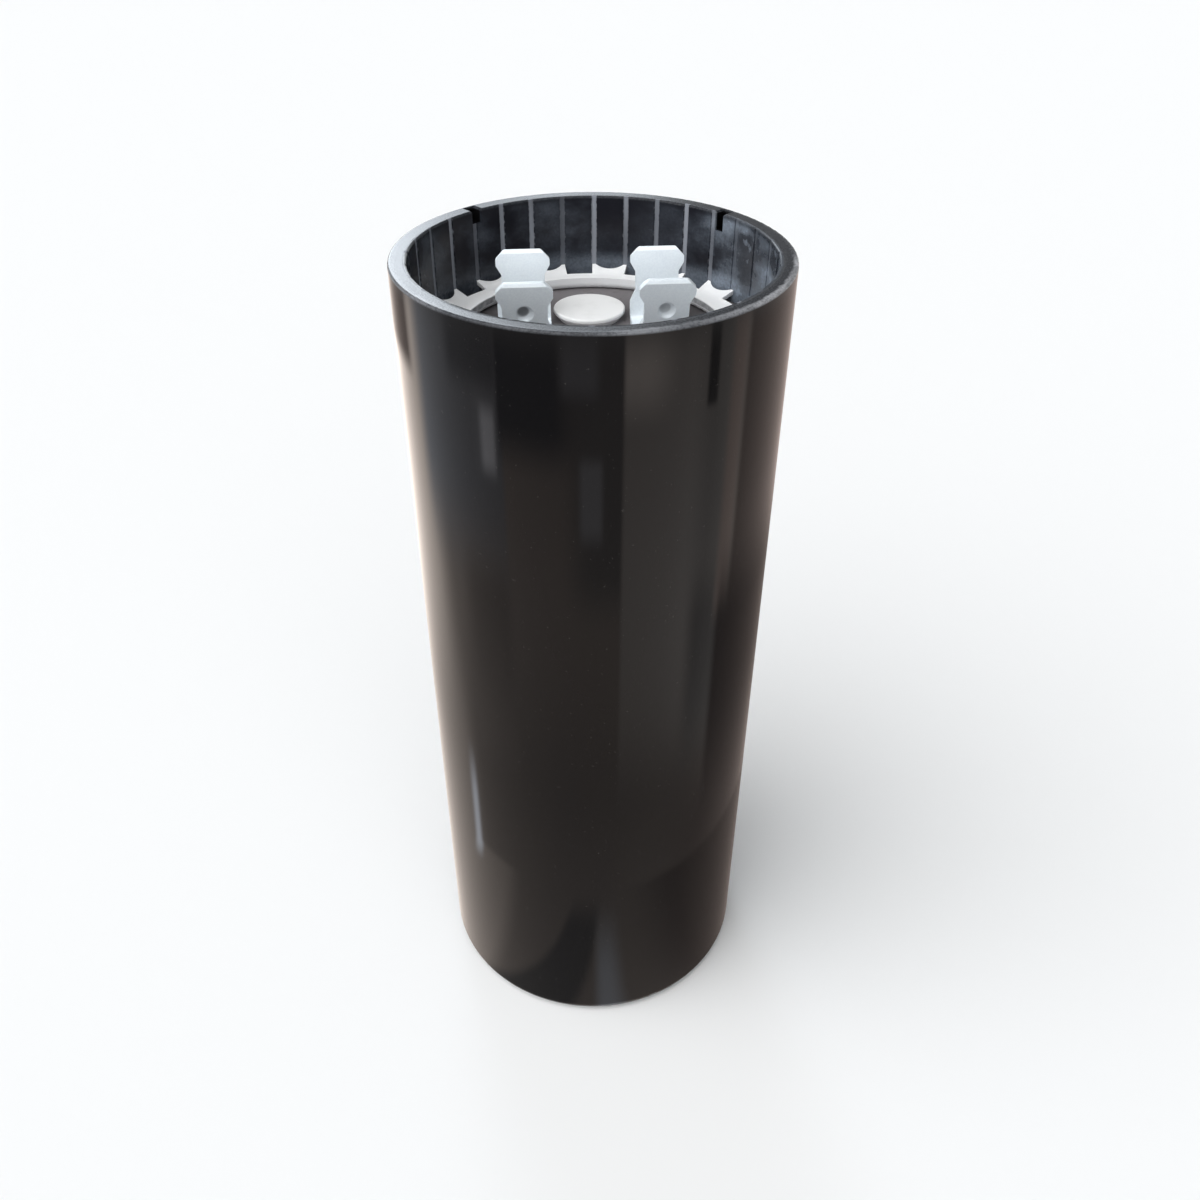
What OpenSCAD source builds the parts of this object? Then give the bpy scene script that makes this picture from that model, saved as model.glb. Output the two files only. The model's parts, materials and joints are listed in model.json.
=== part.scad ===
// Motor start capacitor: a moulded phenolic can with a riveted header, held in its mouth by a toothed ring.
// Millimetres, +Z up, origin at the centre of the base. The two terminals stand on the X axis.

/* [Case] */
// Outside diameter of the can
case_d = 46; // [40:0.5:56]
// Height of the can from its base to its rim
case_h = 112; // [80:0.5:160]
// Wall round the mouth
wall_t = 2.1; // [1.6:0.1:3]
// Thickness of the floor
floor_t = 3; // [2:0.1:5]
// Round where the base meets the side
base_round = 1.8; // [0.8:0.1:3]
// Round on the outer edge of the rim
rim_round_out = 0.3; // [0.2:0.05:0.9]
// Round on the inner edge of the rim
rim_round_in = 0.25; // [0.15:0.05:0.7]
// Width of the ledge that carries the header
ledge_w = 1.5; // [1:0.1:2.5]
// Diameter of the post that centres the winding on the floor
post_d = 5.4; // [3:0.1:8]
// Height of that post above the floor
post_h = 10; // [4:0.5:20]

/* [Rim notches] */
// Width of each notch in the inside of the rim
notch_w = 1.4; // [0.6:0.1:2]
// Chamfer on the top edges of each notch
notch_flare = 0.22; // [0.12:0.05:0.52]
// Wall left outside each notch
notch_skin = 0.4; // [0.3:0.05:0.8]
// Angle of the right notch from +X
notch_right = 38; // [0:1:90]
// Depth of the right notch below the rim
notch_right_h = 2.3; // [1:0.1:4]
// Angle of the left notch from +X
notch_left = 129.5; // [91:0.5:180]
// Depth of the left notch below the rim
notch_left_h = 1.7; // [1:0.1:4]

/* [Header] */
// Depth of the header's top face below the rim
header_depth = 10.2; // [8:0.1:16]
// Thickness of the header disc
header_t = 2.4; // [1.6:0.1:4]
// Thickness of the rubber seal under the header
seal_t = 1.6; // [1:0.1:3]
// Gap between the header and the bore
header_gap = 0.1; // [0.05:0.05:0.3]

/* [Retaining ring] */
// Thickness of the ring's sheet
ring_t = 0.5; // [0.3:0.05:0.8]
// Width of the ring from the bore to its inner edge
ring_w = 5.4; // [4.6:0.1:7]
// Height of the turned-up inner lip above the header
lip_h = 1.5; // [1.1:0.1:2.5]
// Inside radius of the bend under the lip
lip_bend = 0.3; // [0.1:0.05:0.5]
// Number of tabs round the ring
tab_count = 16; // [8:1:24]
// Angle of the first tab from +X
ring_turn = 12.5; // [0:0.5:22.5]
// Distance from the bore to the line where the tabs turn up
tab_reach = 2.3; // [2:0.1:2.8]
// Slope of the tabs above the flat of the ring
tab_slope = 20; // [10:1:30]
// Distance from the bore to the root of the slots between tabs
slot_reach = 1.7; // [1.2:0.1:1.9]
// Depth of the hollow between the two horns of a tab
horn_dip = 0.85; // [0.5:0.05:1.1]
// Width of the flat at the tip of a horn
horn_tip = 0.45; // [0.2:0.05:0.7]
// Depth that the horns bite into the wall
horn_bite = 0.1; // [0.05:0.01:0.2]

/* [Terminals] */
// Distance between the two terminals
terminal_pitch = 15.9; // [14.5:0.1:19]
// Width of a push-on blade
blade_w = 6.35; // [4.8:0.05:7]
// Thickness of the blades
blade_t = 0.8; // [0.5:0.05:1]
// Height of the blade tips above the header
blade_h = 8.85; // [8:0.05:9.5]
// Outward lean of the blades
blade_lean = 10; // [0:1:20]
// Width of the waist below a blade's head
waist_w = 5.1; // [3.6:0.1:5.5]
// Distance from a blade's tip to the middle of its latch dimple
dimple_drop = 3.7; // [3:0.1:4.5]
// Diameter of the dimple, in the outer face of a blade
dimple_d = 2; // [1.2:0.1:2.4]
// Depth of the dimple
dimple_depth = 0.4; // [0.2:0.05:0.45]
// Length of the flat foot between the bends
foot_l = 6.1; // [5.6:0.1:8]
// Inside radius of the bends
foot_bend = 0.6; // [0.3:0.1:1]

/* [Rivets] */
// Diameter of the rivet shanks
rivet_d = 3.2; // [2.4:0.1:3.6]
// Diameter of the rivet heads
rivet_head_d = 5; // [4.4:0.1:5.5]
// Height of the round head on top
rivet_head_h = 1; // [0.6:0.1:1.4]
// Height of the clinched end below
rivet_tail_h = 0.8; // [0.5:0.1:1.2]
// Gap between a shank and the holes that it passes
rivet_gap = 0.05; // [0.02:0.01:0.1]
// Diameter of the washers under the seal
washer_d = 9; // [7:0.5:12]
// Thickness of the washers
washer_t = 0.6; // [0.4:0.1:1]

/* [Vent plug] */
// Distance of the plug from the line of the rivets
vent_y = 6.3; // [5.5:0.1:8]
// Gap between the plug's cap and the terminals on either side
vent_gap = 0.4; // [0.15:0.05:0.8]
// Height of the plug's cap above the header
vent_cap_h = 1.3; // [0.8:0.05:1.5]
// Thickness of the cap at its edge
vent_edge = 0.45; // [0.35:0.05:0.7]
// Round on the upper edge of the cap
vent_round = 0.25; // [0.1:0.05:0.3]
// Distance that the cap draws in below its edge
vent_undercut = 0.7; // [0.3:0.1:1]
// Diameter of the plug's stem
vent_stem_d = 4.6; // [3:0.1:5.5]
// Gap between the stem and its hole
vent_stem_gap = 0.05; // [0.02:0.01:0.2]
// Overhang of the barb below the seal
vent_barb = 0.8; // [0.4:0.1:1.2]
// Height of the barb
vent_barb_h = 2; // [1:0.1:3]

/* [Winding] */
// Gap between the winding and the can
winding_gap = 0.2; // [0.1:0.05:1]
// Free height between the winding and the seal
head_room = 7; // [5:0.5:14]
// Diameter of the hole left by the winding arbor
core_d = 6; // [5.6:0.1:10]

/* [Lead tabs] */
// Width of the aluminium lead tabs
lead_w = 6; // [4.5:0.5:7]
// Thickness of the lead tabs
lead_t = 0.3; // [0.2:0.05:0.5]
// Distance from a rivet to the bend of its tab
lead_reach = 3.2; // [3:0.1:4.5]
// Inside radius of the bend
lead_bend = 0.5; // [0.3:0.1:1]
// Depth that a tab goes down between the turns
lead_depth = 8; // [4:0.5:15]
// Gap between a tab and the turns on either side
lead_gap = 0.05; // [0.02:0.01:0.1]

/* [Hidden] */
$fn = 96;

// Overrun of cutting shapes past the faces that they cut
cut = 1;
left = -1;
right = 1;

// Case radii and levels
case_r = case_d / 2;
bore_r = case_r - wall_t;
well_r = bore_r - ledge_w;
header_top = case_h - header_depth;
header_bottom = header_top - header_t;
ledge_z = header_bottom - seal_t;

// Retaining ring: radii, levels above the header, half angles from the middle of a tab to the middle of
// its horns and of a horn to its sides, and the arc that hollows each tab between its horns
ring_in_r = bore_r - ring_w;
horn_r = bore_r + horn_bite;
slot_r = bore_r - slot_reach;
tab_r = bore_r - tab_reach;
tab_rise = (horn_r - tab_r) * tan(tab_slope);
tab_t = ring_t / cos(tab_slope);
tab_step = 360 / tab_count;
tab_half = tab_step / 4;
horn_half = asin(horn_tip / 2 / horn_r);
horn_chord = horn_r * sin(tab_half) - horn_tip / 2;
horn_sag = horn_r * cos(tab_half) - (horn_r - horn_dip);
dip_r = (horn_chord * horn_chord + horn_sag * horn_sag) / (2 * horn_sag);
dip_x = horn_r - horn_dip + dip_r;

// Scores in the wall, a little wider, deeper and lower than the horns that cut them
score_clear = 0.03;
wall_chord = sqrt(dip_r * dip_r - pow(dip_x - bore_r * cos(tab_half), 2));
horn_spread = horn_chord - wall_chord;
score_w = horn_tip + 2 * (horn_spread + score_clear);
score_depth = horn_bite + score_clear;
score_z = header_top + tab_reach * tan(tab_slope) - score_clear;

// Terminals: the blade is straight from the end of its bend to its tip
rivet_x = terminal_pitch / 2;
bend_z = blade_t + foot_bend;
blade_start_r = foot_bend + blade_t / 2;
blade_start_y = foot_l / 2 + blade_start_r * cos(blade_lean);
blade_start_z = bend_z - blade_start_r * sin(blade_lean);
blade_l = (blade_h - blade_start_z) / cos(blade_lean);

// Outline of a blade, in distances down from its tip
tip_bevel_w = 1;
head_top = 1.05;
head_bottom = 1.8;
waist_top = 2.85;
waist_bottom = 4.95;
shoulder = 6.25;
blade_round = 0.4;
lead_in_t = 0.2;
lead_in_l = 0.4;
dimple_ball_r = (dimple_d * dimple_d / 4 + dimple_depth * dimple_depth) / (2 * dimple_depth);

// Stack on each rivet
rivet_r = rivet_d / 2;
rivet_hole_r = rivet_r + rivet_gap;
rivet_top = header_top + blade_t;
washer_bottom = ledge_z - washer_t;
lead_bottom = washer_bottom - lead_t;
rivet_dome_r = (rivet_head_d * rivet_head_d / 4 + rivet_head_h * rivet_head_h) / (2 * rivet_head_h);
rivet_tail_recess = 0.5;

// Vent plug
vent_r = (terminal_pitch - blade_w) / 2 - vent_gap;
vent_stem_r = vent_stem_d / 2;
vent_hole_r = vent_stem_r + vent_stem_gap;

// Winding and lead tabs
winding_r = well_r - winding_gap;
winding_top = ledge_z - head_room;
lead_x = rivet_x + lead_reach + lead_bend;
lead_bend_z = lead_bottom - lead_bend;

// Points of an arc about c, from angle a0 to angle a1
function arc(c, r, a0, a1, steps = 8) =
    [for (i = [0:steps]) c + r * [cos(a0 + (a1 - a0) * i / steps), sin(a0 + (a1 - a0) * i / steps)]];

// Points that round the corner b, on the way from a to c, with the turn taken the short way
function rounded(a, b, c, r, steps = 4) =
    let (
        back = (a - b) / norm(a - b),
        ahead = (c - b) / norm(c - b),
        half = acos(back * ahead) / 2,
        centre = b + (back + ahead) / norm(back + ahead) * r / sin(half),
        from = b + back * r / tan(half) - centre,
        to = b + ahead * r / tan(half) - centre,
        a0 = atan2(from[1], from[0]),
        turn = (atan2(to[1], to[0]) - a0 + 540) % 360 - 180
    )
    arc(centre, r, a0, a0 + turn, steps);

// Waste outside a quarter round, for a corner at the upper right
module corner_waste(r) {
    difference() {
        square(r + cut);
        circle(r);
    }
}

// Copies its children round the ring, once for each tab
module each_tab() {
    for (i = [0:tab_count - 1])
        rotate(ring_turn + i * tab_step)
            children();
}

// Section of the can, to the right of its axis
module case_section() {
    difference() {
        square([case_r, case_h]);
        translate([post_d / 2, floor_t])
            square([well_r - post_d / 2, case_h]);
        translate([-cut, floor_t + post_h])
            square([well_r + cut, case_h]);
        translate([0, ledge_z])
            square([bore_r, case_h]);
        translate([case_r - rim_round_out, case_h - rim_round_out])
            corner_waste(rim_round_out);
        translate([bore_r + rim_round_in, case_h - rim_round_in])
            mirror([1, 0])
                corner_waste(rim_round_in);
        translate([case_r - base_round, base_round])
            mirror([0, 1])
                corner_waste(base_round);
    }
}

// One notch from the bore into the rim, at the given angle, with its top edges chamfered
module rim_notch(angle, depth) {
    half = notch_w / 2;
    flared = half + notch_flare;
    rotate(angle)
        translate([bore_r - cut, 0, case_h])
            rotate([90, 0, 90])
                linear_extrude(case_r - notch_skin - bore_r + cut)
                    polygon([
                        [-half, -depth],
                        [half, -depth],
                        [half, -notch_flare],
                        [flared, 0],
                        [flared, cut],
                        [-flared, cut],
                        [-flared, 0],
                        [-half, -notch_flare]
                    ]);
}

// One upright score in the wall, above the horn at angle 0
module wall_score() {
    translate([bore_r - score_depth, -score_w / 2, score_z])
        cube([2 * score_depth, score_w, case_h]);
}

module case() {
    color([0.09, 0.09, 0.09])
        difference() {
            rotate_extrude()
                case_section();
            rim_notch(notch_right, notch_right_h);
            rim_notch(notch_left, notch_left_h);
            each_tab()
                for (side = [left, right])
                    rotate(side * tab_half)
                        wall_score();
        }
}

// Section of the ring's sheet: lip, bend, flat and sloping tab
module ring_section() {
    bend_out = lip_bend + ring_t;
    bend_c = [ring_in_r + bend_out, bend_out];
    flat_end = tab_r - ring_t * tan(tab_slope / 2);
    polygon(concat(
        [[ring_in_r + ring_t, lip_h], [ring_in_r, lip_h]],
        arc(bend_c, bend_out, 180, 270),
        [[tab_r, 0], [horn_r, tab_rise], [horn_r, tab_rise + tab_t], [flat_end, ring_t]],
        arc(bend_c, lip_bend, 270, 180)
    ));
}

// Slot between the tab at angle 0 and the next
module ring_slot() {
    rotate(tab_half + horn_half)
        rotate_extrude(angle = 2 * (tab_half - horn_half))
            translate([slot_r, -cut])
                square([horn_r - slot_r + cut, tab_rise + tab_t + 2 * cut]);
}

// Hollow between the two horns of the tab at angle 0
module horn_hollow() {
    translate([dip_x, 0, -cut])
        cylinder(r = dip_r, h = tab_rise + tab_t + 2 * cut);
}

module retaining_ring() {
    color([0.86, 0.87, 0.88])
        translate([0, 0, header_top])
            difference() {
                rotate_extrude()
                    ring_section();
                each_tab() {
                    ring_slot();
                    horn_hollow();
                }
            }
}

// Disc across the bore, drilled for the rivets and the vent plug
module drilled_disc(z, thickness) {
    translate([0, 0, z])
        difference() {
            cylinder(r = bore_r - header_gap, h = thickness);
            for (side = [left, right])
                translate([side * rivet_x, 0, -cut])
                    cylinder(r = rivet_hole_r, h = thickness + 2 * cut);
            translate([0, vent_y, -cut])
                cylinder(r = vent_hole_r, h = thickness + 2 * cut);
        }
}

module header_disc() {
    color([0.30, 0.26, 0.24])
        drilled_disc(header_bottom, header_t);
}

module seal_disc() {
    color([0.12, 0.12, 0.12])
        drilled_disc(ledge_z, seal_t);
}

// Half section of the vent plug, with z = 0 at the header's top face: mushroom cap, stem and barb
module vent_section() {
    hole_l = header_t + seal_t;
    difference() {
        polygon([
            [0, vent_cap_h],
            [vent_r, vent_cap_h],
            [vent_r, vent_cap_h - vent_edge],
            [vent_r - vent_undercut, 0],
            [vent_stem_r, 0],
            [vent_stem_r, -hole_l],
            [vent_stem_r + vent_barb, -hole_l],
            [vent_stem_r, -hole_l - vent_barb_h],
            [0, -hole_l - vent_barb_h]
        ]);
        translate([vent_r - vent_round, vent_cap_h - vent_round])
            corner_waste(vent_round);
    }
}

module vent_plug() {
    color([0.92, 0.92, 0.90])
        translate([0, vent_y, header_top])
            rotate_extrude()
                vent_section();
}

// Outline of a blade, standing on its root with its tip at the top
module blade_outline() {
    half = blade_w / 2;
    corners = [
        [half, 0],
        [half, blade_l - shoulder],
        [waist_w / 2, blade_l - waist_bottom],
        [waist_w / 2, blade_l - waist_top],
        [half, blade_l - head_bottom],
        [half, blade_l - head_top],
        [half - tip_bevel_w, blade_l],
        [0, blade_l]
    ];
    right_side = [
        corners[0],
        for (i = [1:len(corners) - 2])
            each rounded(corners[i - 1], corners[i], corners[i + 1], blade_round)
    ];
    last = len(right_side) - 1;
    left_side = [for (i = [last:-1:0]) [-right_side[i][0], right_side[i][1]]];
    polygon(concat(right_side, left_side));
}

// Edge view of a blade, thinned at the tip so that a push-on connector finds it
module blade_edge() {
    half = blade_t / 2;
    polygon([
        [-half, 0],
        [half, 0],
        [half, blade_l - lead_in_l],
        [half - lead_in_t, blade_l],
        [lead_in_t - half, blade_l],
        [-half, blade_l - lead_in_l]
    ]);
}

// Ball that dents the outer face of a blade, where a push-on connector latches
module latch_ball() {
    translate([0, blade_t / 2 - dimple_depth + dimple_ball_r, blade_l - dimple_drop])
        sphere(dimple_ball_r);
}

// One blade with its bend, on the +Y side of the foot
module blade() {
    translate([0, foot_l / 2, bend_z])
        rotate([90, 0, 90])
            rotate([0, 0, -90])
                translate([0, 0, -blade_w / 2])
                    rotate_extrude(angle = 90 - blade_lean)
                        translate([foot_bend, 0])
                            square([blade_t, blade_w]);
    translate([0, blade_start_y, blade_start_z])
        rotate([-blade_lean, 0, 0])
            difference() {
                intersection() {
                    translate([0, blade_t / 2, 0])
                        rotate([90, 0, 0])
                            linear_extrude(blade_t)
                                blade_outline();
                    translate([-blade_w / 2, 0, 0])
                        rotate([90, 0, 90])
                            linear_extrude(blade_w)
                                blade_edge();
                }
                latch_ball();
            }
}

// Double terminal: a flat foot with a blade bent up at either end
module terminal(side) {
    color([0.80, 0.82, 0.84])
        translate([side * rivet_x, 0, header_top])
            difference() {
                union() {
                    translate([-blade_w / 2, -foot_l / 2, 0])
                        cube([blade_w, foot_l, blade_t]);
                    blade();
                    mirror([0, 1, 0])
                        blade();
                }
                translate([0, 0, -cut])
                    cylinder(r = rivet_hole_r, h = blade_t + 2 * cut);
            }
}

module terminal_left() {
    terminal(left);
}

module terminal_right() {
    terminal(right);
}

// Half section of a rivet: round head, shank and clinched end with its recess
module rivet_section() {
    intersection() {
        translate([0, rivet_top])
            square([rivet_head_d / 2, rivet_head_h]);
        translate([0, rivet_top + rivet_head_h - rivet_dome_r])
            circle(rivet_dome_r);
    }
    difference() {
        translate([0, lead_bottom - rivet_tail_h])
            square([rivet_r, rivet_top - lead_bottom + rivet_tail_h]);
        translate([0, lead_bottom - rivet_tail_h - cut])
            square([rivet_r / 2, rivet_tail_recess + cut]);
    }
    translate([rivet_r, lead_bottom - rivet_tail_h])
        square([rivet_head_d / 2 - rivet_r, rivet_tail_h]);
}

module rivet(side) {
    color([0.74, 0.75, 0.76])
        translate([side * rivet_x, 0, 0])
            rotate_extrude()
                rivet_section();
}

module rivet_left() {
    rivet(left);
}

module rivet_right() {
    rivet(right);
}

module washer(side) {
    color([0.72, 0.73, 0.74])
        translate([side * rivet_x, 0, washer_bottom])
            difference() {
                cylinder(d = washer_d, h = washer_t);
                translate([0, 0, -cut])
                    cylinder(r = rivet_hole_r, h = washer_t + 2 * cut);
            }
}

module washer_left() {
    washer(left);
}

module washer_right() {
    washer(right);
}

// Lead tab of the right terminal: flat under the washer, then down between the turns
module right_lead_tab() {
    lead_end = winding_top - lead_depth;
    difference() {
        translate([rivet_x - lead_w / 2, -lead_w / 2, lead_bottom])
            cube([lead_w / 2 + lead_reach, lead_w, lead_t]);
        translate([rivet_x, 0, lead_bottom - cut])
            cylinder(r = rivet_hole_r, h = lead_t + 2 * cut);
    }
    translate([rivet_x + lead_reach, lead_w / 2, lead_bend_z])
        rotate([90, 0, 0])
            rotate_extrude(angle = 90)
                translate([lead_bend, 0])
                    square([lead_t, lead_w]);
    translate([lead_x, -lead_w / 2, lead_end])
        cube([lead_t, lead_w, lead_bend_z - lead_end]);
}

module lead_tab_left() {
    color([0.78, 0.79, 0.80])
        mirror([1, 0, 0])
            right_lead_tab();
}

module lead_tab_right() {
    color([0.78, 0.79, 0.80])
        right_lead_tab();
}

// Roll of foil and paper, with its arbor hole and the two slits that take the lead tabs
module winding() {
    slit_t = lead_t + 2 * lead_gap;
    slit_w = lead_w + 2 * lead_gap;
    slit_z = winding_top - lead_depth - lead_gap;
    color([0.72, 0.66, 0.54])
        difference() {
            translate([0, 0, floor_t])
                cylinder(r = winding_r, h = winding_top - floor_t);
            translate([0, 0, floor_t - cut])
                cylinder(d = core_d, h = winding_top - floor_t + 2 * cut);
            for (side = [left, right])
                translate([side * (lead_x + lead_t / 2) - slit_t / 2, -slit_w / 2, slit_z])
                    cube([slit_t, slit_w, lead_depth + lead_gap + cut]);
        }
}

case();
retaining_ring();
header_disc();
seal_disc();
vent_plug();
terminal_left();
terminal_right();
rivet_left();
rivet_right();
washer_left();
washer_right();
lead_tab_left();
lead_tab_right();
winding();
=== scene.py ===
import json
import math

import bmesh
import bpy
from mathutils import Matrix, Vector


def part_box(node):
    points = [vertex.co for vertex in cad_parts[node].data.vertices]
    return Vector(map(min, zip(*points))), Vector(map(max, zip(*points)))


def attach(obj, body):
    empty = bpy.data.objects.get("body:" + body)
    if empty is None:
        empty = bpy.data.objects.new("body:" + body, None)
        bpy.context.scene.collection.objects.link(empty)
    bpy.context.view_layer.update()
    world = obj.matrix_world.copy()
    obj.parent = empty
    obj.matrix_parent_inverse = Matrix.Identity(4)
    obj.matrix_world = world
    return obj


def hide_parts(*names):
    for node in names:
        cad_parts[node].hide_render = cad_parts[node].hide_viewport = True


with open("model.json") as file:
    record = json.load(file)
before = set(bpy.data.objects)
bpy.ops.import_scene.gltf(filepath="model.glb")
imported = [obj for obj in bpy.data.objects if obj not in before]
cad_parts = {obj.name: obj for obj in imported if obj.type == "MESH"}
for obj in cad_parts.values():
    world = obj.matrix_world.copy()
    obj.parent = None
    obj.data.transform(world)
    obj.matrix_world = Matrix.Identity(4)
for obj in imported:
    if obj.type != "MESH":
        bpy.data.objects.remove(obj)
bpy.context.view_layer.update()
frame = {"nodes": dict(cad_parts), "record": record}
scene = bpy.context.scene
scene.view_settings.view_transform = "Standard"

MM = 0.001

# Levels and radii of the part, from the frame
CASE_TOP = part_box("case")[1]
RIM_Z = CASE_TOP.z
CASE_R = CASE_TOP.x
HEADER_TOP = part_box("header_disc")[1]
HEADER_Z = HEADER_TOP.z
HEADER_GAP = 0.1 * MM
BORE_R = HEADER_TOP.x + HEADER_GAP
RIVET_LOW, RIVET_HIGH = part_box("rivet_right")
RIVET_X = (RIVET_LOW.x + RIVET_HIGH.x) / 2
# Middle of the latch dimple in each blade's outer face, from the tip
BLADE_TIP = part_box("terminal_right")[1]
DIMPLE_Z = BLADE_TIP.z - 3.65 * MM
DIMPLE_Y = BLADE_TIP.y - 1.05 * MM
# Inner face and top of the lip at the ring's inner edge
LIP_R = BORE_R - 5.4 * MM
LIP_Z = HEADER_Z + 1.5 * MM

# Scores that the ring's horns leave in the bore
SCORE_COUNT = 32
SCORE_START = math.radians(6.875)
SCORE_W = 0.7 * MM

# Camera, from the photograph's perspective
PHOTO_PX = 1200
FOCAL_PX = 1096
SHIFT_PX = 7
CAMERA_AZIMUTH = math.radians(-4)
CAMERA_PITCH = math.radians(36.57)
CAMERA_AWAY = 122.56 * MM
CAMERA_ABOVE_RIM = 42.06 * MM


def add_camera():
    data = bpy.data.cameras.new("camera")
    data.lens = data.sensor_width * FOCAL_PX / PHOTO_PX
    data.shift_x = SHIFT_PX / PHOTO_PX
    camera = bpy.data.objects.new("camera", data)
    camera.location = (
        math.sin(CAMERA_AZIMUTH) * CAMERA_AWAY,
        -math.cos(CAMERA_AZIMUTH) * CAMERA_AWAY,
        RIM_Z + CAMERA_ABOVE_RIM,
    )
    camera.rotation_euler = (math.pi / 2 - CAMERA_PITCH, 0, CAMERA_AZIMUTH)
    scene.collection.objects.link(camera)
    scene.camera = camera


class Nodes:
    """A node tree and the sums that feed its shader, from the place of each point."""

    def __init__(self, tree, place="Object"):
        self.tree = tree
        self.place = self.add("ShaderNodeTexCoord").outputs[place]

    def add(self, kind):
        return self.tree.nodes.new(kind)

    def feed(self, socket, value):
        if isinstance(value, bpy.types.NodeSocket):
            self.tree.links.new(value, socket)
        else:
            socket.default_value = value

    def math(self, operation, a, b=0.0, c=0.0):
        node = self.add("ShaderNodeMath")
        node.operation = operation
        for socket, value in zip(node.inputs, (a, b, c)):
            self.feed(socket, value)
        return node.outputs[0]

    def times(self, first, *others):
        """Product of all the values."""
        for value in others:
            first = self.math("MULTIPLY", first, value)
        return first

    def plus(self, base, value, share=1.0):
        """Base, with that share of value added."""
        return self.math("MULTIPLY_ADD", value, share, base)

    def ease(self, value, low, high, start=0.0, end=1.0):
        """Takes value from low to high smoothly to start to end."""
        node = self.add("ShaderNodeMapRange")
        node.interpolation_type = "SMOOTHSTEP"
        for socket, number in zip(node.inputs, (value, low, high, start, end)):
            self.feed(socket, number)
        return node.outputs[0]

    def band(self, value, near, far):
        """1 between two sides, each given by the values at which it is 0 and 1."""
        return self.times(self.ease(value, *near), self.ease(value, *far))

    def mix(self, factor, a, b):
        """Colour a where factor is 0, colour b where it is 1."""
        node = self.add("ShaderNodeMix")
        node.data_type = "RGBA"
        self.feed(node.inputs[0], factor)
        self.feed(node.inputs[6], a)
        self.feed(node.inputs[7], b)
        return node.outputs[2]

    def noise(self, size, stretch=(1, 1, 1), detail=3.0):
        """Noise with features of about that size in metres, stretched along each axis."""
        scaled = self.add("ShaderNodeVectorMath")
        scaled.operation = "MULTIPLY"
        self.feed(scaled.inputs[0], self.place)
        scaled.inputs[1].default_value = [1 / (size * s) for s in stretch]
        node = self.add("ShaderNodeTexNoise")
        node.inputs["Scale"].default_value = 1
        node.inputs["Detail"].default_value = detail
        self.feed(node.inputs["Vector"], scaled.outputs[0])
        return node.outputs[0]

    def axes(self):
        node = self.add("ShaderNodeSeparateXYZ")
        self.feed(node.inputs[0], self.place)
        return node.outputs

    def radius(self, x, y):
        return self.math("SQRT", self.plus(self.times(x, x), self.times(y, y)))


class Finish(Nodes):
    """One material: a Principled shader and the nodes that feed it."""

    def __init__(self, name):
        self.material = bpy.data.materials.new(name)
        self.material.use_nodes = True
        super().__init__(self.material.node_tree)
        self.shader = self.tree.nodes["Principled BSDF"]

    def shade(self, **inputs):
        """Sets or links the shader's inputs, named in lower case with underscores."""
        for socket in self.shader.inputs:
            key = socket.name.lower().replace(" ", "_")
            if key in inputs:
                self.feed(socket, inputs[key])

    def bump(self, height, depth):
        """Relief of that depth in metres, from a height of 0 to 1."""
        node = self.add("ShaderNodeBump")
        node.inputs["Strength"].default_value = 1.0
        node.inputs["Distance"].default_value = depth
        self.feed(node.inputs["Height"], height)
        self.shade(normal=node.outputs[0])


def colour(red, green, blue):
    return (red, green, blue, 1)


def score_cover(f, x, y, z, inside):
    """Cover of the scores in the bore: ragged lines, unevenly worn, and fainter on the right."""
    step = 2 * math.pi / SCORE_COUNT
    turn = f.math("ARCTAN2", y, x)
    part = f.math("FRACT", f.math("MULTIPLY_ADD", turn, 1 / step, 0.5 - SCORE_START / step))
    away = f.times(f.math("ABSOLUTE", f.math("SUBTRACT", part, 0.5)), step * BORE_R)
    ragged = f.plus(-0.15 * MM, f.noise(0.5 * MM), 0.3 * MM)
    return f.times(
        f.ease(f.plus(away, ragged), SCORE_W * 0.55, SCORE_W * 0.35),
        inside,
        f.ease(z, HEADER_Z, HEADER_Z + 1 * MM),
        f.ease(f.noise(7 * MM, (1, 1, 4), 2), 0.38, 0.6, 0.25, 0.9),
        f.ease(x, 0.7 * BORE_R, 0.92 * BORE_R, 1.0, 0.35),
    )


def dust_and_light_cover(f, x, z, inside):
    """Cover of the dust in the bore, and of painted light on its right side: patches that are most on the
    right, and more at the wall's foot.
    """
    from_clean = f.math("ABSOLUTE", f.math("SUBTRACT", x, 0.42 * BORE_R))
    # Dust patches, raised towards the right as painted light there
    haze_and_light = f.times(
        f.ease(f.noise(6 * MM, (1, 1, 0.7), 5), 0.36, 0.74),
        f.ease(x, 0.3 * BORE_R, 0.85 * BORE_R, 0.28, 1.2),
        f.ease(from_clean, 0.16 * BORE_R, 0.48 * BORE_R, 0.3, 1.0),
    )
    # Painted light: an even pale cover on the bore's right side
    haze_and_light = f.plus(haze_and_light, f.ease(x, 0.72 * BORE_R, 0.86 * BORE_R, 0.0, 0.12))
    foot = f.ease(z, HEADER_Z + 3.5 * MM, HEADER_Z + 1.2 * MM, 0.0, 0.7)
    haze_and_light = f.plus(haze_and_light, foot, f.ease(x, -0.6 * BORE_R, 0.2 * BORE_R, 0.2, 1.0))
    scuff = f.ease(f.noise(1.6 * MM, detail=4), 0.58, 0.68)
    haze_and_light = f.plus(haze_and_light, f.times(scuff, f.ease(x, 0.7 * BORE_R, 0.95 * BORE_R)), 0.7)
    haze_and_light = f.times(haze_and_light, f.ease(f.noise(0.3 * MM, detail=2), 0.3, 0.7, 0.72, 1.0))
    scratch = f.ease(f.noise(0.35 * MM, (4, 4, 1), 2), 0.66, 0.74)
    haze_and_light = f.plus(haze_and_light, f.times(scratch, haze_and_light), 0.6)
    return f.times(haze_and_light, inside, f.ease(z, RIM_Z - 0.15 * MM, RIM_Z - 0.9 * MM, 0.2, 1.0))


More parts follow.
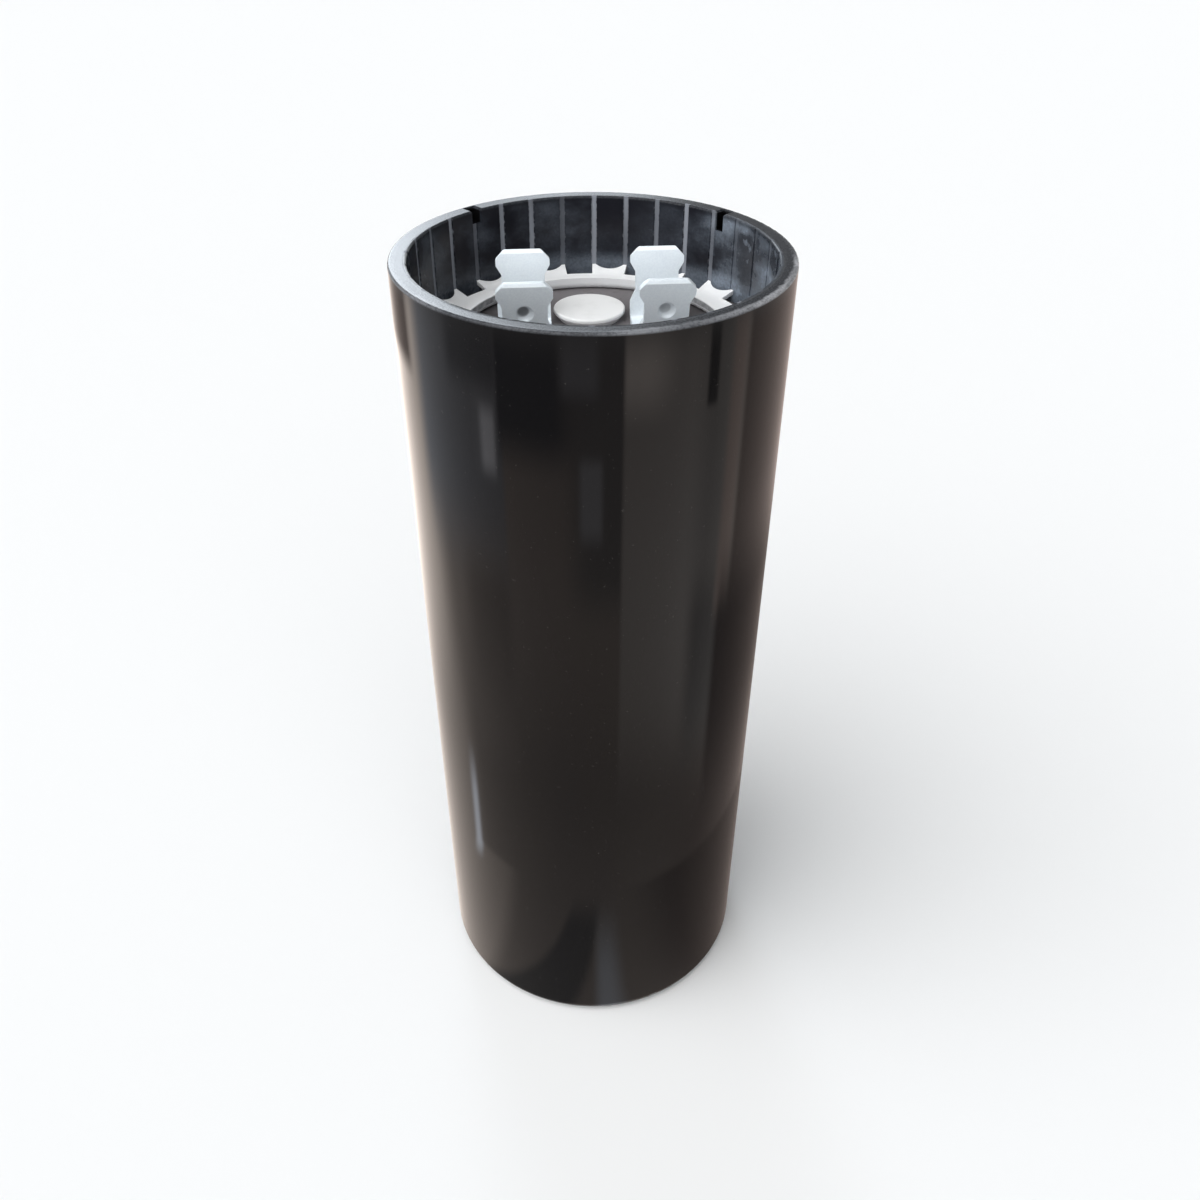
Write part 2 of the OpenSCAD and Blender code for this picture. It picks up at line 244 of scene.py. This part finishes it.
def rim_colour_and_highlights(f, x, y, r, grain):
    """Ground face of the rim, worn pale along its outer edge with a painted highlight there that is lighter
    on the right, and a painted highlight on its inner edge at the left front.
    """
    chalky = f.ease(grain, 0.25, 0.6, 0.5, 1.0)
    worn_r = f.plus(r, f.noise(1.2 * MM, detail=3), 0.8 * MM)
    from_dull = f.math("ABSOLUTE", f.math("ADD", x, 0.45 * CASE_R))
    # Worn pale outer edge, partly a painted highlight, weaker at the left front
    outer_wear_and_highlight = f.times(
        f.ease(worn_r, CASE_R - 0.45 * MM, CASE_R),
        f.ease(y, -0.05 * CASE_R, -0.3 * CASE_R, 0.1, 1.0),
        f.ease(f.noise(8 * MM, detail=2), 0.4, 0.6, 0.5, 1.1),
        f.ease(from_dull, 0.15 * CASE_R, 0.6 * CASE_R, 0.25, 1.15),
        chalky,
    )
    # Painted highlight on the inner edge at the left front
    inner_highlight = f.times(
        f.ease(r, BORE_R + 0.4 * MM, BORE_R + 0.15 * MM),
        f.ease(x, -0.6 * BORE_R, -0.93 * BORE_R),
        f.ease(y, 0.25 * BORE_R, -0.1 * BORE_R),
        chalky,
    )
    # The worn edge's colour turns lighter to the right, a painted highlight
    highlight_to_right = f.ease(x, 0.25 * CASE_R, 0.7 * CASE_R)
    bare_and_highlight = f.mix(highlight_to_right, colour(0.20, 0.207, 0.222), colour(0.36, 0.365, 0.385))
    ground = f.mix(f.ease(grain, 0.35, 0.65), colour(0.014, 0.016, 0.02), colour(0.042, 0.045, 0.052))
    return f.mix(inner_highlight, f.mix(outer_wear_and_highlight, ground, bare_and_highlight), colour(0.50, 0.53, 0.55))


def phenolic():
    """Glossy black moulding with a ground rim that has painted highlights on its edges, and a dusty bore that
    the ring's horns have scored, with painted light on the bore's right side.
    """
    f = Finish("phenolic")
    x, y, z = f.axes()
    r = f.radius(x, y)
    inside = f.ease(r, BORE_R + 0.5 * MM, BORE_R + 0.25 * MM)
    rim = f.ease(z, RIM_Z - 0.4 * MM, RIM_Z - 0.1 * MM)
    score = score_cover(f, x, y, z, inside)
    dust_and_light = dust_and_light_cover(f, x, z, inside)
    cloud = f.noise(14 * MM, (1, 1, 3), 4)
    streak = f.noise(1.6 * MM, (1, 1, 40), 2)
    speck = f.ease(f.noise(0.35 * MM, detail=1), 0.74, 0.8)
    grain = f.noise(0.25 * MM, detail=2)

    body = f.mix(cloud, colour(0.003, 0.003, 0.0042), colour(0.006, 0.0055, 0.005))
    body = f.mix(f.times(speck, 0.25), body, colour(0.09, 0.085, 0.08))
    body = f.mix(inside, body, colour(0.010, 0.0105, 0.0145))
    # Rim face, worn pale, with painted highlights on its edges
    body = f.mix(rim, body, rim_colour_and_highlights(f, x, y, r, grain))
    # Pale bluish dust, partly painted light on the bore's right side
    body = f.mix(f.times(dust_and_light, 0.75), body, colour(0.228, 0.265, 0.318))
    body = f.mix(score, body, colour(0.26, 0.275, 0.31))

    dull_lip = f.times(
        rim,
        f.ease(r, BORE_R + 0.8 * MM, BORE_R + 0.3 * MM),
        f.ease(y, 0, -0.4 * BORE_R),
        f.ease(x, -0.85 * BORE_R, -0.65 * BORE_R),
    )
    rough = 0.03
    for value, share in (
        (cloud, 0.05), (streak, 0.04), (inside, 0.12), (rim, 0.11),
        (dull_lip, 0.35), (dust_and_light, 0.3), (score, 0.4),
    ):
        rough = f.plus(rough, value, share)

    f.bump(f.plus(f.times(cloud, 0.5), f.times(grain, rim), 0.5), 0.02 * MM)
    f.shade(base_color=body, roughness=rough, specular_ior_level=0.22, specular_tint=colour(0.54, 0.49, 0.46))
    return f.material


def sheet_metal(name, light, dark, metal, rough, grain_stretch, painted_shade=None):
    """Plated sheet with rolling grain, faint stains and small pits, and painted shade where that function
    puts it.
    """
    f = Finish(name)
    grain = f.noise(0.12 * MM, grain_stretch, 3)
    stain = f.ease(f.noise(3 * MM, detail=5), 0.45, 0.75)
    pit = f.ease(f.noise(0.3 * MM, detail=1), 0.72, 0.8)
    mottle = f.ease(f.noise(0.22 * MM, detail=2), 0.35, 0.65)
    tone = f.plus(f.plus(f.times(pit, 0.3), stain, 0.35), mottle, 0.35)
    plate = f.mix(tone, light, dark)
    # Painted shade: darker grey where that function puts it
    if painted_shade:
        plate = f.mix(painted_shade(f), plate, colour(0.11, 0.115, 0.125))
    f.bump(grain, 0.006 * MM)
    gloss = f.plus(f.plus(rough - 0.07, grain, 0.14), stain, 0.10)
    f.shade(base_color=plate, metallic=metal, roughness=gloss)
    return f.material


def ring_painted_shade(f):
    """Cover of painted shade on the ring: on its lip's inner face, as a painted shadow in the bend behind the
    lip, and as the wall's painted shadow at the left front.
    """
    x, y, z = f.axes()
    r = f.radius(x, y)
    sideways = f.math("ABSOLUTE", x)
    lip = f.times(
        f.band(z, (LIP_Z - 0.9 * MM, LIP_Z - 0.7 * MM), (LIP_Z - 0.08 * MM, LIP_Z - 0.2 * MM)),
        f.ease(r, LIP_R + 0.25 * MM, LIP_R + 0.1 * MM),
        f.ease(sideways, 8 * MM, 12 * MM, 0.0, 0.8),
    )
    bend = f.times(
        f.band(r, (LIP_R + 0.6 * MM, LIP_R + 0.8 * MM), (LIP_R + 1.75 * MM, LIP_R + 1.35 * MM)),
        f.ease(sideways, 9 * MM, 13 * MM, 0.25, 0.9),
    )
    # Painted shadow of the bore's wall on the ring's left front
    left_front = f.times(f.plus(x, y, 0.75), -0.8)
    cover = f.plus(f.math("MAXIMUM", lip, bend), f.ease(left_front, 9 * MM, 15 * MM), 0.55)
    return f.times(cover, f.ease(f.noise(1.2 * MM, detail=4), 0.3, 0.6, 0.5, 1.0))


def ring_steel():
    light, dark = colour(0.975, 0.98, 0.985), colour(0.93, 0.94, 0.95)
    # Near-white plate with painted shade on its lip, in its bend and at its left front
    return sheet_metal("ring_steel", light, dark, 0.06, 0.45, (12, 1, 1), ring_painted_shade)


def dimple_painted_shade(f):
    """Cover of painted shade in the upper left of the latch dimples, more on the left one."""
    x, y, z = f.axes()
    across = f.math("MULTIPLY_ADD", f.math("SIGN", x), -RIVET_X, x)
    away = f.radius(f.math("ADD", across, 0.2 * MM), f.math("SUBTRACT", z, DIMPLE_Z + 0.15 * MM))
    return f.times(
        f.ease(away, 0.8 * MM, 0.5 * MM),
        f.ease(x, -0.5 * RIVET_X, 0.5 * RIVET_X, 0.85, 0.4),
        f.ease(f.math("ABSOLUTE", y), DIMPLE_Y - 0.2 * MM, DIMPLE_Y - 0.1 * MM),
    )


def terminal_plate():
    light, dark = colour(0.85, 0.91, 0.95), colour(0.74, 0.80, 0.86)
    # Plate with painted shade in the latch dimples
    return sheet_metal("terminal_plate", light, dark, 0.25, 0.42, (1, 1, 12), dimple_painted_shade)


def turned_metal(name, light, dark):
    """Aluminium with turning rings about each rivet's axis."""
    f = Finish(name)
    x, y, _ = f.axes()
    r = f.radius(f.math("SUBTRACT", f.math("ABSOLUTE", x), RIVET_X), y)
    rings = f.plus(0.5, f.math("SINE", f.times(r, 40 / MM)), 0.5)
    stain = f.ease(f.noise(1.2 * MM, detail=4), 0.4, 0.75)
    f.bump(f.plus(rings, stain, 0.5), 0.004 * MM)
    f.shade(base_color=f.mix(stain, light, dark), metallic=1.0, roughness=f.plus(0.3, stain, 0.15))
    return f.material


def rivet_metal():
    return turned_metal("rivet_metal", colour(0.74, 0.75, 0.76), colour(0.52, 0.52, 0.53))


def washer_metal():
    return turned_metal("washer_metal", colour(0.70, 0.71, 0.72), colour(0.50, 0.50, 0.51))


def lead_foil():
    light, dark = colour(0.80, 0.81, 0.82), colour(0.64, 0.64, 0.65)
    return sheet_metal("lead_foil", light, dark, 1.0, 0.34, (1, 1, 10))


def header_board():
    """Pressed board with crossed fibres and dark flecks, darker towards its sides."""
    f = Finish("header_board")
    x, _, _ = f.axes()
    fibres = f.plus(f.noise(0.2 * MM, (14, 1, 1), 3), f.noise(0.2 * MM, (1, 14, 1), 3))
    fleck = f.ease(f.noise(0.5 * MM, detail=2), 0.62, 0.74)
    stain = f.noise(5 * MM, detail=4)
    board = f.mix(stain, colour(0.135, 0.124, 0.128), colour(0.19, 0.178, 0.186))
    board = f.mix(f.times(fleck, 0.5), board, colour(0.06, 0.052, 0.05))
    sideways = f.plus(f.math("ABSOLUTE", x), f.noise(2 * MM), 2 * MM)
    board = f.mix(f.ease(sideways, 10.5 * MM, 13 * MM, 0.0, 0.75), board, colour(0.03, 0.028, 0.03))
    f.bump(fibres, 0.02 * MM)
    f.shade(base_color=board, roughness=f.plus(0.45, stain, 0.2))
    return f.material


def rubber(name, pale, grey, rough):
    """Moulded rubber with a fine skin and faint marks."""
    f = Finish(name)
    mark = f.ease(f.noise(1.5 * MM, detail=5), 0.48, 0.8)
    f.bump(f.noise(0.12 * MM, detail=2), 0.006 * MM)
    f.shade(base_color=f.mix(mark, pale, grey), roughness=f.plus(rough, mark, 0.12))
    return f.material


def vent_rubber():
    return rubber("vent_rubber", colour(0.90, 0.90, 0.895), colour(0.84, 0.84, 0.835), 0.45)


def seal_rubber():
    return rubber("seal_rubber", colour(0.03, 0.03, 0.03), colour(0.05, 0.05, 0.048), 0.6)


def winding_paper():
    """Edges of the paper turns, as fine rings about the can's axis."""
    f = Finish("winding_paper")
    x, y, _ = f.axes()
    turns = f.plus(0.5, f.math("SINE", f.times(f.radius(x, y), 18 / MM)), 0.5)
    soaked = f.noise(6 * MM, detail=4)
    paper = f.mix(turns, colour(0.50, 0.42, 0.29), colour(0.62, 0.54, 0.40))
    paper = f.mix(f.times(soaked, 0.4), paper, colour(0.36, 0.29, 0.19))
    f.bump(turns, 0.02 * MM)
    f.shade(base_color=paper, roughness=f.plus(0.75, soaked, -0.2))
    return f.material


# Each finish has the name of its material slot
FINISHES = (
    phenolic, ring_steel, header_board, seal_rubber, vent_rubber,
    terminal_plate, rivet_metal, washer_metal, lead_foil, winding_paper,
)

# Width to which the sharp edges of a node are broken
EDGE_BREAKS = {
    "retaining_ring": 0.06 * MM,
    "terminal_left": 0.12 * MM,
    "terminal_right": 0.12 * MM,
}
MERGE_DIST = 0.0005 * MM
FLAT_ANGLE = math.radians(0.3)
SHARP_ANGLE = math.radians(25)


def add_edged(node, material, width):
    """A copy of a CAD solid with its sharp edges broken, which stands for that solid."""
    made = bmesh.new()
    made.from_mesh(frame["nodes"][node].data)
    bmesh.ops.remove_doubles(made, verts=made.verts, dist=MERGE_DIST)
    bmesh.ops.dissolve_limit(made, angle_limit=FLAT_ANGLE, verts=made.verts, edges=made.edges)
    sharp = [e for e in made.edges if len(e.link_faces) == 2 and e.calc_face_angle() > SHARP_ANGLE]
    bmesh.ops.bevel(
        made, geom=sharp, offset=width, offset_type="OFFSET", segments=2, profile=0.5,
        affect="EDGES", clamp_overlap=True,
    )
    mesh = bpy.data.meshes.new(node + "_edged")
    made.to_mesh(mesh)
    made.free()
    for face in mesh.polygons:
        face.use_smooth = True
    mesh.materials.append(material)
    piece = bpy.data.objects.new(node + "_edged", mesh)
    scene.collection.objects.link(piece)
    normals = piece.modifiers.new("normals", "WEIGHTED_NORMAL")
    normals.mode = "FACE_AREA"
    normals.weight = 80
    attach(piece, "root")
    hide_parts(node)


def dress_nodes():
    made = {finish.__name__: finish() for finish in FINISHES}
    for part in frame["record"]["subparts"]:
        node, slot = part["node"], part["material_slot"]
        mesh = frame["nodes"][node].data
        mesh.materials.clear()
        mesh.materials.append(made[slot])
        if node in EDGE_BREAKS:
            add_edged(node, made[slot], EDGE_BREAKS[node])


# Floor and surround
FLOOR_HALF = 3.0
FLOOR_COLOUR = colour(0.85, 0.85, 0.85)
SURROUND_COLOUR = colour(0.985, 0.995, 1.0)
WINDOW_COLOUR = colour(0.91, 0.99, 1.07)
# Level of the surround on the left and on the right
SURROUND_LEVELS = (0.26, 0.14)
# Pale band at the horizon: level, and heights between which it fades in
HORIZON = (0.9, (0.27, 0.19))
# Panes of the window behind the can: level, lean of the sides for each unit of height, then the azimuths
# from behind, turning right, between which the left and right sides fade in, and the heights between which
# the lower and upper sides do
WINDOW_PANES = (
    (3.4, 0.7, (-22, -13), (9, -9), (0.1, 0.22), (0.58, 0.42)),
    (5.0, 0.7, (-22, -13), (-1.7, -8.2), (0.1, 0.22), (0.58, 0.42)),
    (3.5, 0.0, (-2, 2), (9, 6), (0.18, 0.24), (0.31, 0.28)),
)
# Height at which a side that leans stands at its azimuth
WINDOW_MIDDLE = 0.33
# Level of the window above which it has its own colour in full
WINDOW_FULL = 0.8
# Soft lights on the left, overhead and in front: direction, cosines between which each fades in, level
GLOWS = (
    ((-0.5, -0.28, 0.82), (0.78, 0.97), 2.1),
    ((-0.45, -0.75, 0.5), (0.3, 0.8), 1.2),
)


def add_floor():
    """Plain pale floor."""
    material = bpy.data.materials.new("floor")
    material.use_nodes = True
    shader = material.node_tree.nodes["Principled BSDF"]
    shader.inputs["Base Color"].default_value = FLOOR_COLOUR
    shader.inputs["Roughness"].default_value = 1.0
    shader.inputs["Specular IOR Level"].default_value = 0.0
    mesh = bpy.data.meshes.new("floor")
    signs = ((-1, -1), (1, -1), (1, 1), (-1, 1))
    mesh.from_pydata([(x * FLOOR_HALF, y * FLOOR_HALF, 0) for x, y in signs], [], [(0, 1, 2, 3)])
    mesh.materials.append(material)
    floor = bpy.data.objects.new("floor", mesh)
    scene.collection.objects.link(floor)


def add_world():
    """Soft surround, with a low window behind the can on its left, and glows."""
    world = bpy.data.worlds.new("studio")
    scene.world = world
    world.use_nodes = True
    w = Nodes(world.node_tree, "Generated")
    x, y, z = w.axes()
    level = w.ease(x, -0.9, 0.9, *SURROUND_LEVELS)
    pale, fade = HORIZON
    level = w.plus(level, w.ease(z, *fade), w.math("SUBTRACT", pale, level))

    turn = w.times(w.math("ARCTAN2", x, y), 180 / math.pi)
    below = w.times(w.math("SUBTRACT", WINDOW_MIDDLE, z), 180 / math.pi)
    window = 0.0
    for strength, lean, left, right, lower, upper in WINDOW_PANES:
        pane = w.times(w.band(w.plus(turn, below, lean), left, right), w.band(z, lower, upper))
        window = w.plus(window, pane, strength)
    level = w.plus(level, window)

    for direction, fade, strength in GLOWS:
        toward = w.add("ShaderNodeVectorMath")
        toward.operation = "DOT_PRODUCT"
        w.feed(toward.inputs[0], w.place)
        toward.inputs[1].default_value = Vector(direction).normalized()
        level = w.plus(level, w.ease(toward.outputs["Value"], *fade), strength)

    background = w.tree.nodes["Background"]
    tint = w.mix(w.ease(window, 0.0, WINDOW_FULL), SURROUND_COLOUR, WINDOW_COLOUR)
    w.feed(background.inputs["Color"], tint)
    w.feed(background.inputs["Strength"], level)


# Tent round the can, and a mat on the floor at its foot, which show only in gloss
TENT_R = 2 * CASE_R
TENT_H = 106 * MM
TENT_FADE = 9 * MM
TENT_STEPS = 96
MAT_Z = 0.2 * MM
# Slope of the strip that lies on the mat, in front of the can
STRIP_SLOPE = 0.24
WARM = (1.0, 0.88, 0.80)
BROWN = (1.0, 0.82, 0.75)
PALE = (1.0, 0.96, 0.93)
COOL = (0.92, 0.96, 1.05)
# Fields, each laid over those before it: level, tint, and the span along each measure.
# A span has a start and an end, each with the width over which it fades, or None where it is open.
# Turn is in degrees from the front to the right; height, strip and reach from the can are in millimetres.
TENT_FIELDS = (
    (0.74, WARM, {}),
    (1.4, WARM, {"height": ((45, 50), None)}),
    (1.15, WARM, {"turn": ((-150, 40), (-78, 16))}),
    (2.4, WARM, {"turn": ((-145, 40), (-88, 20)), "height": ((45, 50), None)}),
    (0.45, BROWN, {"turn": ((-138, 56), (-104, 8)), "height": ((88.5, 5), None)}),
    (1.25, COOL, {"turn": ((-96, 12), (-44, 3)), "height": ((68, 24), None)}),
    (1.5, COOL, {"turn": ((-58, 5), (-46.5, 2.5)), "height": ((80, 4), (94, 5))}),
    (4.2, COOL, {"turn": ((-54.5, 4), (-47.5, 2.5)), "height": ((81, 4), (90, 4))}),
    (0.65, COOL, {"turn": ((-72, 8), (-46, 2.5)), "height": ((93, 6), None)}),
    (0.95, WARM, {"turn": ((-70, 14), (-44, 8)), "height": ((30, 24), (64, 12))}),
    (0.74, PALE, {"turn": ((-12, 16), (9, 2.5)), "height": ((62, 12), None)}),
    (0.22, COOL, {"turn": ((-45.5, 2.5), (-12, 20)), "height": ((85, 9), None)}),
    (1.9, COOL, {"turn": ((-9.5, 4), (0, 3)), "height": ((73, 5), (85, 3))}),
    (1.5, COOL, {"turn": ((-17, 6), (-2, 5)), "height": ((94.2, 4), None)}),
    (1.25, PALE, {"turn": ((9, 2.5), (69, 4)), "height": ((47, 60), None)}),
    (2.2, PALE, {"turn": ((9, 2.5), (45, 16)), "height": ((47, 60), None)}),
    (4.5, PALE, {"turn": ((9, 2.5), (26, 18)), "height": ((92.5, 9), None)}),
    (0.75, PALE, {"turn": ((45, 10), (66, 5)), "height": ((28, 24), (61, 14))}),
    (1.7, BROWN, {"turn": ((60, 5), (69, 4)), "height": ((54, 8), None)}),
    (0.2, PALE, {"turn": ((46.5, 2), (52, 2)), "height": ((90, 1.5), None)}),
    (0.64, BROWN, {"turn": ((70.5, 4), (165, 40))}),
    (0.25, BROWN, {"turn": ((62, 6), (165, 40)), "height": (None, (60, 20))}),
    (0.36, BROWN, {"turn": ((40, 50), (165, 40)), "height": (None, (22, 34))}),
    (3.0, COOL, {"turn": ((-82, 5), (-77, 4)), "height": (None, (18, 16))}),
)
MAT_FIELDS = (
    (0.74, WARM, {}),
    (1.15, WARM, {"turn": ((-150, 40), (-52, 14))}),
    (3.0, COOL, {"turn": ((-82, 5), (-76, 4)), "reach": ((20.5, 5), None)}),
    (0.26, BROWN, {"turn": ((28, 40), (165, 40))}),
    (0.32, PALE, {
        "strip": ((-21.5, 3), (-10.5, 3)), "turn": ((-60, 20), (30, 20)), "reach": (None, (19, 8)),
    }),
    (1.45, COOL, {"turn": ((-2, 6), (8, 10)), "reach": (None, (14, 16))}),
)


def field_light(name, fields):
    """Light of the tent or the mat, from its fields."""
    material = bpy.data.materials.new(name)
    material.use_nodes = True
    m = Nodes(material.node_tree)
    x, y, z = m.axes()
    measures = {
        "turn": m.times(m.math("ARCTAN2", x, m.times(y, -1)), 180 / math.pi),
        "height": m.times(z, 1 / MM),
        "strip": m.times(m.plus(x, y, STRIP_SLOPE), 1 / MM),
        "reach": m.times(m.math("SUBTRACT", m.radius(x, y), CASE_R), 1 / MM),
    }
    light = colour(0, 0, 0)
    for level, tint, spans in fields:
        cover = 1.0
        for measure, (start, end) in spans.items():
            for side, way in ((start, 0.5), (end, -0.5)):
                if side:
                    at, fade = side
                    edge = m.ease(measures[measure], at - way * fade, at + way * fade)
                    cover = m.times(edge, cover)
        light = m.mix(cover, light, colour(*(level * t for t in tint)))
    glow = m.add("ShaderNodeEmission")
    m.feed(glow.inputs["Color"], light)
    clear = m.add("ShaderNodeBsdfTransparent")
    blend = m.add("ShaderNodeMixShader")
    top = m.ease(z, TENT_H - TENT_FADE, TENT_H)
    for socket, value in zip(blend.inputs, (top, glow.outputs[0], clear.outputs[0])):
        m.feed(socket, value)
    m.feed(m.tree.nodes["Material Output"].inputs["Surface"], blend.outputs[0])
    return material


def add_band(name, low, high, fields):
    """Band round the can's axis between two circles, each given by radius and height."""
    turns = [2 * math.pi * i / TENT_STEPS for i in range(TENT_STEPS)]
    points = [(math.sin(t) * r, -math.cos(t) * r, z) for t in turns for r, z in (low, high)]
    count = len(points)
    faces = [(i, (i + 2) % count, (i + 3) % count, i + 1) for i in range(0, count, 2)]
    mesh = bpy.data.meshes.new(name)
    mesh.from_pydata(points, [], faces)
    mesh.materials.append(field_light(name, fields))
    band = bpy.data.objects.new(name, mesh)
    band.visible_camera = False
    band.visible_diffuse = False
    band.visible_shadow = False
    band.visible_transmission = False
    scene.collection.objects.link(band)


add_camera()
dress_nodes()
add_floor()
add_world()
add_band("tent", (TENT_R, 0), (TENT_R, TENT_H), TENT_FIELDS)
add_band("mat", (CASE_R, MAT_Z), (TENT_R, MAT_Z), MAT_FIELDS)
